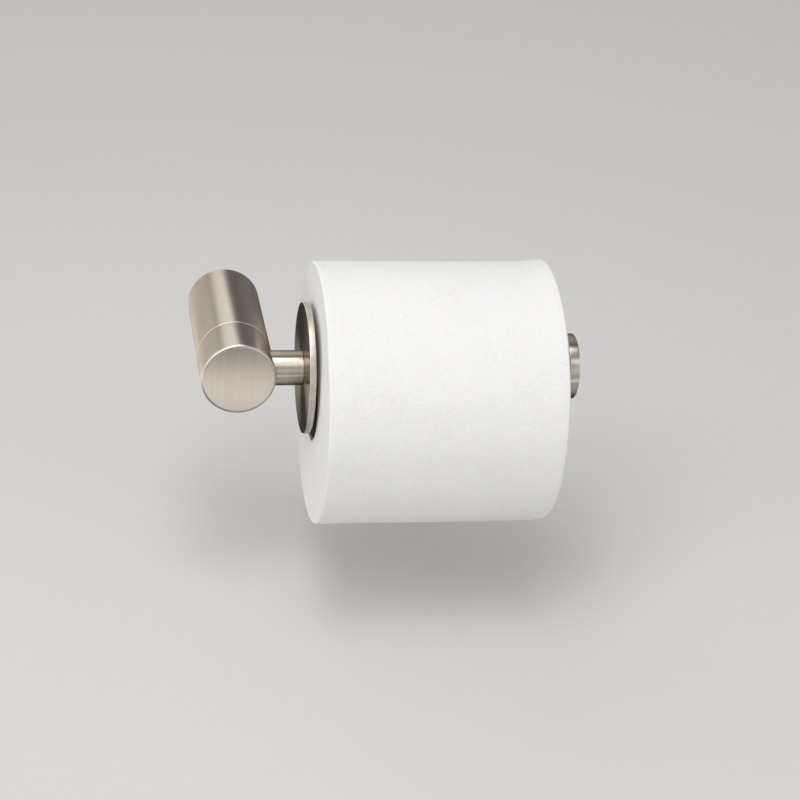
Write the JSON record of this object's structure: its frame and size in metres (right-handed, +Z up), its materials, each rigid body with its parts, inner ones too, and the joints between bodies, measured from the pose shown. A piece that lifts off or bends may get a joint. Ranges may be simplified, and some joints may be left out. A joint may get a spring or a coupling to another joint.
{
  "type": "toilet paper holder",
  "caption": "Single-post pivoting toilet paper holder: round wall post, swing-up arm with guide disc and end knob, and a paper roll on its cardboard core.",
  "frame": {"origin": "where the post's axis meets the wall, at the centre of the bracket's back face", "axes": "+X along the arm, +Y into the wall along the post's axis, +Z up"},
  "size_m": [0.163, 0.1483, 0.1132],
  "materials": {
    "brushed_nickel": "satin",
    "cast_zinc": "matte",
    "zinc_plated_steel": "satin",
    "spring_steel": "satin",
    "white_nylon": "satin",
    "grey_board": "matte",
    "tissue_paper": "matte"
  },
  "bodies": {
    "wall_post": {"wall_bracket": "cast_zinc", "mounting_screw_left": "zinc_plated_steel", "mounting_screw_right": "zinc_plated_steel", "post_sleeve": "brushed_nickel", "sleeve_set_screw": "zinc_plated_steel", "pivot_bushing": "white_nylon", "thrust_washer": "white_nylon", "wave_washer": "spring_steel", "flat_washer": "zinc_plated_steel"},
    "swing_arm": {"pivot_bolt": "zinc_plated_steel", "pivot_head": "brushed_nickel", "stop_pin": "zinc_plated_steel", "arm_lock_screw": "zinc_plated_steel", "arm_stub": "brushed_nickel", "guide_disc": "brushed_nickel", "disc_stud": "zinc_plated_steel", "roll_bar": "brushed_nickel", "bar_inner_plug": "zinc_plated_steel", "bar_outer_plug": "zinc_plated_steel", "knob_stud": "zinc_plated_steel", "end_knob": "brushed_nickel"},
    "roll": {"cardboard_core": "grey_board", "paper_roll": "tissue_paper"}
  },
  "joints": [
    {"name": "arm_pivot", "type": "hinge", "parent": "wall_post", "child": "swing_arm", "pos_m": [0, -0.0579, 0], "axis": [0, -1, 0], "range_deg": [0, 90]},
    {"name": "roll_spin", "type": "hinge", "parent": "swing_arm", "child": "roll", "pos_m": [0.0832, -0.07, -0.0119], "axis": [1, 0, 0], "continuous": true}
  ]
}
